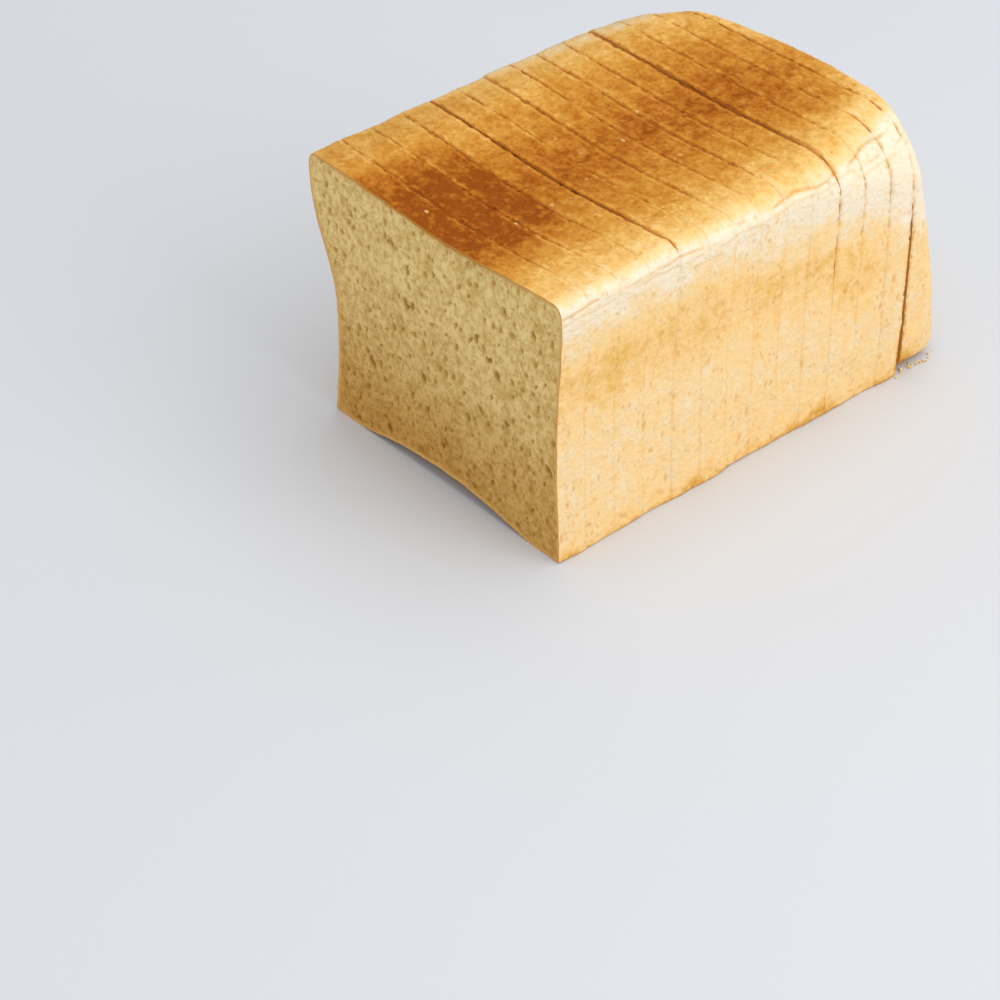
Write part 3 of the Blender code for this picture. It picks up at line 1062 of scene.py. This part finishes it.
def make_heel(shape, crust, crumb, materials):
    """The end piece: a cut face in front, crust on its walls and over its rounded far face."""
    last_cut = len(shape.slice_thickness)
    rings = heel_rings(shape)
    number = last_cut + 1
    piece = Piece()
    moved = add_band(piece, rings, ((0, last_cut, 1),), number, shape, crust)
    count = rings.shape[1]
    last_start = (len(rings) - 1) * count
    add_heel_face(piece, last_start, moved[-1], number, shape, crust)
    coarse = HEEL_COARSER[0]
    add_cut_face(piece, 0, moved[0], last_cut, 1, HEEL_STEPS, coarse, number, shape, crumb, crust)
    made = finish_piece("heel_bread", piece, loaf_offset(shape), (0,), count, materials)
    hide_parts("heel")
    return made


# Loose crumbs on the floor, at the foot of the heel's gap: place, spread, number, sizes and shape
CRUMBS_MIDDLE = (0.0580, 0.0730)
CRUMBS_SPREAD = (0.0024, 0.0110)
CRUMBS_NEAREST = 0.0563
CRUMB_COUNT = 20
CRUMB_SIZES = (0.00022, 0.00060)
CRUMB_RINGS = 7
CRUMB_SIDES = 10
CRUMB_UNEVEN = (0.45, 0.9)
CRUMB_SHAPE = (1.0, 1.25, 0.75)


def crumb_lump(radius, seed):
    """Points and faces of one uneven crumb that stands on its base."""
    turn = np.linspace(0, math.pi, CRUMB_RINGS + 1)[1:-1]
    round_turn = np.linspace(0, 2 * math.pi, CRUMB_SIDES, endpoint=False)
    rings = [
        (math.sin(down) * math.cos(side), math.sin(down) * math.sin(side), math.cos(down))
        for down in turn
        for side in round_turn
    ]
    points = np.array([(0.0, 0.0, 1.0)] + rings + [(0.0, 0.0, -1.0)])
    uneven_by, size = CRUMB_UNEVEN
    points *= 1 + uneven_by * layered_noise(points, size, seed)[:, None]
    points *= radius * np.array(CRUMB_SHAPE)
    points[:, 2] -= points[:, 2].min()
    last = len(points) - 1
    faces = []
    for side in range(CRUMB_SIDES):
        after = (side + 1) % CRUMB_SIDES
        faces.append((0, 1 + side, 1 + after))
        for ring in range(len(turn) - 1):
            start = 1 + ring * CRUMB_SIDES
            lower = start + CRUMB_SIDES
            faces.append((start + side, lower + side, lower + after, start + after))
        start = last - CRUMB_SIDES
        faces.append((last, start + after, start + side))
    return points, faces


def make_crumbs(crumb, materials):
    """The loose crumbs beside the heel's gap, as one piece."""
    draw = random.Random(crumb.seed + 4)
    piece = Piece()
    for number in range(CRUMB_COUNT):
        radius = mix(*CRUMB_SIZES, draw.random() ** 2)
        points, faces = crumb_lump(radius, crumb.seed + number)
        spin = draw.uniform(0, math.pi)
        x, y, z = points.T
        pairs = zip(CRUMBS_MIDDLE, CRUMBS_SPREAD)
        place_x, place_y = [draw.gauss(middle, spread / 2) for middle, spread in pairs]
        turned_x = x * math.cos(spin) - y * math.sin(spin) + max(place_x, CRUMBS_NEAREST)
        turned_y = x * math.sin(spin) + y * math.cos(spin) + place_y
        first = piece.add(np.stack([turned_x, turned_y, z], 1))
        piece.crumb_faces += [tuple(first + i for i in face) for face in faces]
    return finish_piece("crumbs", piece, np.zeros(3), (), 0, materials)


# Materials

# Places of the colours among the mix node's inputs, and of the mixed colour among its outputs
MIX_FIRST = 6
MIX_SECOND = 7
MIX_RESULT = 2


def solid(colour):
    """A colour with full opacity."""
    return (*colour, 1.0)


class Nodes:
    """Short ways to add and join the nodes of one material."""

    def __init__(self, name):
        self.material = bpy.data.materials.get(name) or bpy.data.materials.new(name)
        self.material.use_nodes = True
        self.tree = self.material.node_tree
        self.tree.nodes.clear()
        self.shader = self.add("ShaderNodeBsdfPrincipled")
        self.add("ShaderNodeOutputMaterial", {"Surface": self.shader.outputs[0]})
        self.place = self.add("ShaderNodeTexCoord").outputs["Object"]

    def add(self, kind, inputs=(), **settings):
        """A node of this kind with these settings, and what its inputs hold."""
        node = self.tree.nodes.new(kind)
        for name, value in settings.items():
            setattr(node, name, value)
        for place, value in dict(inputs).items():
            self.put(value, node.inputs[place])
        return node

    def put(self, value, target):
        """Joins an output to an input, or sets the input to a colour or a plain value."""
        if isinstance(value, bpy.types.NodeSocket):
            self.tree.links.new(value, target)
        elif isinstance(value, Color):
            target.default_value = solid(value)
        elif value is not None:
            target.default_value = value

    def surface(self, **values):
        """Sets or joins the shader's inputs, named with _ for each space."""
        for name, value in values.items():
            self.put(value, self.shader.inputs[name.replace("_", " ")])

    def value(self, name, times=1.0):
        """The piece's own value of this name, or that many times it, held from 0 to 1."""
        source = self.add("ShaderNodeAttribute", attribute_name=name).outputs["Fac"]
        return source if times == 1.0 else self.maths("MULTIPLY", source, times, clamp=True)

    def maths(self, operation, first, second, clamp=False):
        """Arithmetic on two numbers or outputs."""
        inputs = {0: first, 1: second}
        return self.add("ShaderNodeMath", inputs, operation=operation, use_clamp=clamp).outputs[0]

    def squeezed(self, scale):
        """The place on the piece with its height scaled down, so that what lies there is taller."""
        inputs = {"Vector": self.place, "Scale": (1, 1, scale)}
        return self.add("ShaderNodeMapping", inputs).outputs[0]

    def noise(self, size, detail=3.0, rough=0.5, place=None):
        """Noise whose bumps are about this size."""
        inputs = {"Vector": place or self.place, "Scale": 1 / size, "Detail": detail, "Roughness": rough}
        return self.add("ShaderNodeTexNoise", inputs).outputs["Fac"]

    def cells(self, size, place=None):
        """Distance to the nearest of many scattered points, about this far apart."""
        inputs = {"Vector": place or self.place, "Scale": 1 / size}
        return self.add("ShaderNodeTexVoronoi", inputs).outputs["Distance"]

    def span(self, source, low, high, start=0.0, end=1.0):
        """Maps low to start and high to end, held beyond them."""
        inputs = {"Value": source, "From Min": low, "From Max": high, "To Min": start, "To Max": end}
        return self.add("ShaderNodeMapRange", inputs, clamp=True).outputs["Result"]

    def patches(self, kind, place=None):
        """Noise of one kind: size, detail, roughness, its low and high end and what it gives there."""
        size, detail, rough, low, high, start, end = kind
        return self.span(self.noise(size, detail, rough, place), low, high, start, end)

    def blend(self, share, first, second, way="MIX"):
        """Mixes two colours by a share."""
        inputs = {"Factor": share, MIX_FIRST: first, MIX_SECOND: second}
        return self.add("ShaderNodeMix", inputs, data_type="RGBA", blend_type=way).outputs[MIX_RESULT]

    def ramp(self, source, stops):
        """A colour ramp through these places and colours."""
        node = self.add("ShaderNodeValToRGB", {"Fac": source})
        elements = node.color_ramp.elements
        while len(elements) > 1:
            elements.remove(elements[-1])
        elements[0].position = stops[0][0]
        elements[0].color = solid(stops[0][1])
        for position, colour in stops[1:]:
            elements.new(position).color = solid(colour)
        return node.outputs["Color"]

    def bump(self, height, distance, strength=1.0, below=None):
        """Bump from a height, over another bump if there is one."""
        inputs = {"Strength": strength, "Distance": distance, "Height": height, "Normal": below}
        return self.add("ShaderNodeBump", inputs).outputs["Normal"]


# Noise in the crust's colour: size, detail, roughness, its low and high end and what it gives there
CLOUDS = (0.0046, 4, 0.55, 0.32, 0.68, -0.070, 0.070)
GRAIN = (0.0015, 3, 0.5, 0.32, 0.68, -0.050, 0.050)
STREAKS = (0.0024, 3, 0.5, 0.35, 0.65, -0.028, 0.028)
STREAK_SQUEEZE = 0.3
STRONGER_WHERE_BROWN = (0.1, 0.9, 0.65, 1.9)
SPECK_PATCHES = (0.0060, 2, 0.5, 0.46, 0.62, 0, 1)
SPECK_SIZE = 0.0021
SPECK_SQUEEZE = 0.75
SPECK_SPAN = (0.08, 0.42, 0.38, 0)
SEAM_BREAKS = (0.0016, 2, 0.5, 0.35, 0.6, 0.2, 0.95)
CRUST_ROUGHNESS = (0.0020, 3, 0.5, 0.3, 0.7, 0.50, 0.75)

# Where on the browning scale each colour of the crust lies; cream is pale crust with a painted highlight
COLOUR_PLACES = (
    (0.0, "cream"), (0.10, "sand"), (0.20, "peach"), (0.32, "golden"),
    (0.50, "tan"), (0.62, "orange"), (0.80, "brown"), (1.0, "dark"),
)

# How strongly pits and flecks are coloured, the crust's shine, and its bumps: noise, depth, strength
PIT_STRENGTH = 0.9
FLECK_STRENGTH = 1.1
CRUST_SHINE = 0.05
PEBBLE_BUMP = (0.0005, 0.35)
COARSE_BUMP = ((0.0022, 4, 0.6), 0.0010, 0.6)
FINE_BUMP = ((0.0007, 3, 0.6), 0.00035, 0.7)


def crust_material(finish):
    """Baked crust: patches of browning, fine specks, pale flecks and orange pits, with painted shade on
    the top's left edge and a painted highlight in the cream.
    """
    nodes = Nodes("crust")
    brown = nodes.value("brown")
    streaks = nodes.patches(STREAKS, nodes.squeezed(STREAK_SQUEEZE))
    mottle = nodes.maths("ADD", nodes.patches(CLOUDS), nodes.patches(GRAIN))
    strength = nodes.span(brown, *STRONGER_WHERE_BROWN)
    mottle = nodes.maths("MULTIPLY", nodes.maths("ADD", mottle, streaks), strength)
    brown = nodes.maths("ADD", brown, mottle, clamp=True)
    colour = nodes.ramp(brown, [(place, getattr(finish, name)) for place, name in COLOUR_PLACES])
    specks = nodes.span(nodes.cells(SPECK_SIZE, nodes.squeezed(SPECK_SQUEEZE)), *SPECK_SPAN)
    darker = (
        # The first tint is painted shade on the top's left edge; the others darken the crust's own colour
        (nodes.value("dull"), finish.dull),
        (nodes.maths("MULTIPLY", specks, nodes.patches(SPECK_PATCHES)), finish.tan),
        (nodes.value("pit", PIT_STRENGTH), finish.pit),
        (nodes.value("seam", nodes.patches(SEAM_BREAKS)), finish.pit),
    )
    for share, tint in darker:
        colour = nodes.blend(share, colour, tint, "MULTIPLY")
    colour = nodes.blend(nodes.value("fleck", FLECK_STRENGTH), colour, finish.fleck)
    normal = nodes.bump(nodes.cells(SPECK_SIZE), *PEBBLE_BUMP)
    for noise, depth, strength in (COARSE_BUMP, FINE_BUMP):
        normal = nodes.bump(nodes.noise(*noise), depth, strength, normal)
    rough = nodes.patches(CRUST_ROUGHNESS)
    nodes.surface(Base_Color=colour, Roughness=rough, Specular_IOR_Level=CRUST_SHINE, Normal=normal)
    return nodes.material


# Noise in the crumb: its webs and the patches of tiny pores, which paint shade in the small pores, and
# the large darker clouds
CRUMB_SQUEEZE = 0.8
WEBS = (0.0019, 4, 0.6, 0.35, 0.56, 1, 0)
TINY_SIZE = 0.0010
TINY_SPAN = (0.12, 0.42, 0.9, 0)
TINY_PATCHES = (0.0050, 2, 0.5, 0.40, 0.60, 0, 1)
CRUMB_CLOUDS = (0.0090, 3, 0.5, 0.35, 0.65, 0, 1)

# How dark each of them is, the pores' darkness being painted shade, where the crumb is tan between pale
# and deep, and where the rim ends
FINE_STRENGTH = 0.46
PORE_SHADE_STRENGTH = 1.3
CLOUD_STRENGTH = 0.15
TAN_PLACE = 0.6
RIM_SPAN = (0.20, 0.55)

# The crumb's roughness, shine and bumps
CRUMB_ROUGHNESS = 0.88
CRUMB_SHINE = 0.25
CRUMB_GRAIN = 0.0011
FINE_DEPTH = 0.9
CRUMB_BUMP = (0.0004, 0.45)


def crumb_material(finish, crust):
    """Open crumb: pale webs round pores darkened tan to deep by painted shade, and the crust's own
    thickness at the rim.
    """
    nodes = Nodes("crumb")
    squeezed = nodes.squeezed(CRUMB_SQUEEZE)
    tiny = nodes.span(nodes.cells(TINY_SIZE, squeezed), *TINY_SPAN)
    tiny = nodes.maths("MULTIPLY", tiny, nodes.patches(TINY_PATCHES))
    fine = nodes.maths("MAXIMUM", nodes.patches(WEBS, squeezed), tiny)
    # Painted shade in the pores, by their depth
    pores = nodes.value("pore", PORE_SHADE_STRENGTH)
    both = nodes.maths("MAXIMUM", nodes.maths("MULTIPLY", fine, FINE_STRENGTH), pores, clamp=True)
    clouds = nodes.maths("MULTIPLY", nodes.patches(CRUMB_CLOUDS), CLOUD_STRENGTH)
    share = nodes.maths("ADD", both, clouds, clamp=True)
    colour = nodes.ramp(share, [(0.0, finish.pale), (TAN_PLACE, finish.tan), (1.0, finish.deep)])
    # Painted shade and warm bounce light low on the crumb, and a darker tone beside the crust
    colour = nodes.blend(nodes.value("warm"), colour, finish.warm, "MULTIPLY")
    rim_colour = nodes.blend(nodes.value("brown"), finish.rim, crust.orange)
    colour = nodes.blend(nodes.span(nodes.value("rim"), *RIM_SPAN), colour, rim_colour)
    depth = nodes.maths("MULTIPLY", fine, FINE_DEPTH)
    normal = nodes.bump(nodes.maths("SUBTRACT", nodes.noise(CRUMB_GRAIN), depth), *CRUMB_BUMP)
    rough, shine = CRUMB_ROUGHNESS, CRUMB_SHINE
    nodes.surface(Base_Color=colour, Roughness=rough, Specular_IOR_Level=shine, Normal=normal)
    return nodes.material


def bread_materials(scene):
    """The crust's and the crumb's materials, in the order of a piece's material numbers."""
    return crust_material(scene.loaf_crust), crumb_material(scene.loaf_crumb, scene.loaf_crust)


# The floor's unevenness, roughness and shine
FLOOR_PALER = 1.02
FLOOR_CLOUDS = (0.15, 2)
FLOOR_ROUGHNESS = 0.7
FLOOR_SHINE = 0.2


def floor_material(look):
    """A plain pale floor with a faint unevenness."""
    nodes = Nodes("pale_floor")
    paler = Color([min(1.0, part * FLOOR_PALER) for part in look.floor_colour])
    colour = nodes.blend(nodes.noise(*FLOOR_CLOUDS), look.floor_colour, paler)
    nodes.surface(Base_Color=colour, Roughness=FLOOR_ROUGHNESS, Specular_IOR_Level=FLOOR_SHINE)
    return nodes.material


# The stage

FLOOR_HALF_SIZE = 3.0
FLOOR_DROP = 0.00003
CAMERA_PLACE = (0.5111, -0.4869, 0.4985)
CAMERA_YAW = math.radians(50.133)
CAMERA_PITCH = math.radians(37.956)
CAMERA_ROLL = math.radians(-1.628)
SENSOR_WIDTH = 36.0
TOP_LIGHT = ((0.34, 0.25, 1.48), 1.6)
SIDE_LIGHT = ((1.35, 0.25, 0.85), 1.1)
LIGHT_AIM = (0.0, 0.0, 0.04)
SKY_COLOUR = (0.93, 0.96, 1.0)
TOP_COLOUR = (1.0, 0.99, 0.98)
SIDE_COLOUR = (1.0, 0.985, 0.96)


def camera_axes():
    """The camera's right, up and back directions, as the columns of a matrix."""
    flat = math.cos(CAMERA_PITCH)
    back = np.array(
        [math.sin(CAMERA_YAW) * flat, -math.cos(CAMERA_YAW) * flat, math.sin(CAMERA_PITCH)]
    )
    level = np.array([math.cos(CAMERA_YAW), math.sin(CAMERA_YAW), 0.0])
    upright = np.cross(back, level)
    right = math.cos(CAMERA_ROLL) * level + math.sin(CAMERA_ROLL) * upright
    up = -math.sin(CAMERA_ROLL) * level + math.cos(CAMERA_ROLL) * upright
    return np.stack([right, up, back], 1)


def make_camera(look):
    """The camera at the viewing angle of the picture."""
    camera = in_scene("camera", bpy.data.cameras.new("camera"))
    camera.data.lens = look.lens
    camera.data.sensor_width = SENSOR_WIDTH
    camera.matrix_world = Matrix.Translation(CAMERA_PLACE) @ Matrix(camera_axes()).to_4x4()
    bpy.context.scene.camera = camera
    return camera


def make_softbox(name, place_and_size, power, colour):
    """A large soft light that faces the loaf and doesn't show itself."""
    place, size = place_and_size
    light = bpy.data.lights.new(name, "AREA")
    light.shape = "SQUARE"
    light.size = size
    light.energy = power
    light.color = colour
    box = in_scene(name, light)
    back = np.array(place) - np.array(LIGHT_AIM)
    back = back / np.linalg.norm(back)
    side = np.cross((0, 1, 0), back)
    side = side / np.linalg.norm(side)
    axes = np.stack([side, np.cross(back, side), back], 1)
    box.matrix_world = Matrix.Translation(place) @ Matrix(axes).to_4x4()
    box.visible_camera = False
    return box


def make_sky(look):
    """Even light from all round."""
    world = bpy.data.worlds.new("room")
    world.use_nodes = True
    background = world.node_tree.nodes["Background"]
    background.inputs["Color"].default_value = solid(SKY_COLOUR)
    background.inputs["Strength"].default_value = look.sky_strength
    bpy.context.scene.world = world


def make_floor(look):
    """The floor, which is no part of the loaf."""
    mesh = bpy.data.meshes.new("floor")
    half = FLOOR_HALF_SIZE
    corners = [(-half, -half, 0), (half, -half, 0), (half, half, 0), (-half, half, 0)]
    mesh.from_pydata(corners, [], [(0, 1, 2, 3)])
    mesh.materials.append(floor_material(look))
    floor = in_scene("floor", mesh)
    floor.location.z = -FLOOR_DROP
    return floor


class LOAF_OT_stage(bpy.types.Operator):
    """Adds the floor, the soft lights and the camera"""

    bl_idname = "loaf.stage"
    bl_label = "Stage"

    def execute(self, context):
        look = context.scene.loaf_stage
        make_floor(look)
        make_sky(look)
        make_softbox("top_light", TOP_LIGHT, look.top_power, TOP_COLOUR)
        make_softbox("side_light", SIDE_LIGHT, look.side_power, SIDE_COLOUR)
        make_camera(look)
        context.scene.view_settings.view_transform = "Standard"
        return {"FINISHED"}


class LOAF_OT_slices(bpy.types.Operator):
    """Adds every slice of the standing row"""

    bl_idname = "loaf.slices"
    bl_label = "Slices"

    def execute(self, context):
        scene = context.scene
        shape, crust, crumb = scene.loaf_shape, scene.loaf_crust, scene.loaf_crumb
        materials = bread_materials(scene)
        for number in range(1, len(shape.slice_thickness) + 1):
            make_slice(number, shape, crust, crumb, materials)
        return {"FINISHED"}


class LOAF_OT_heel(bpy.types.Operator):
    """Adds the crust heel at the far end"""

    bl_idname = "loaf.heel"
    bl_label = "Heel"

    def execute(self, context):
        scene = context.scene
        make_heel(scene.loaf_shape, scene.loaf_crust, scene.loaf_crumb, bread_materials(scene))
        return {"FINISHED"}


class LOAF_OT_crumbs(bpy.types.Operator):
    """Adds the loose crumbs beside the heel"""

    bl_idname = "loaf.crumbs"
    bl_label = "Crumbs"

    def execute(self, context):
        make_crumbs(context.scene.loaf_crumb, bread_materials(context.scene))
        return {"FINISHED"}


class LOAF_PT_panel(bpy.types.Panel):
    """Sizes, colours and the steps that build the loaf"""

    bl_idname = "LOAF_PT_panel"
    bl_label = "Sliced Tin Loaf"
    bl_space_type = "VIEW_3D"
    bl_region_type = "UI"
    bl_category = "Loaf"

    def draw(self, context):
        layout = self.layout
        for operator in OPERATORS:
            layout.operator(operator.bl_idname)
        for name, group in SETTINGS:
            box = layout.box()
            for prop in group.__annotations__:
                box.prop(getattr(context.scene, name), prop)


SETTINGS = (
    ("loaf_shape", LoafShape),
    ("loaf_crust", CrustFinish),
    ("loaf_crumb", CrumbFinish),
    ("loaf_stage", StageLook),
)
OPERATORS = (LOAF_OT_stage, LOAF_OT_slices, LOAF_OT_heel, LOAF_OT_crumbs)


def register():
    """Registers the classes and adds the settings to the scene."""
    for name, group in SETTINGS:
        bpy.utils.register_class(group)
        setattr(bpy.types.Scene, name, PointerProperty(type=group))
    for item in OPERATORS + (LOAF_PT_panel,):
        bpy.utils.register_class(item)


def unregister():
    """Takes the classes and the settings away again."""
    for item in reversed(OPERATORS + (LOAF_PT_panel,)):
        bpy.utils.unregister_class(item)
    for name, group in reversed(SETTINGS):
        delattr(bpy.types.Scene, name)
        bpy.utils.unregister_class(group)


def main():
    """Builds the stage and the loaf."""
    register()
    bpy.ops.loaf.stage()
    bpy.ops.loaf.slices()
    bpy.ops.loaf.heel()
    bpy.ops.loaf.crumbs()


if __name__ == "__main__":
    main()
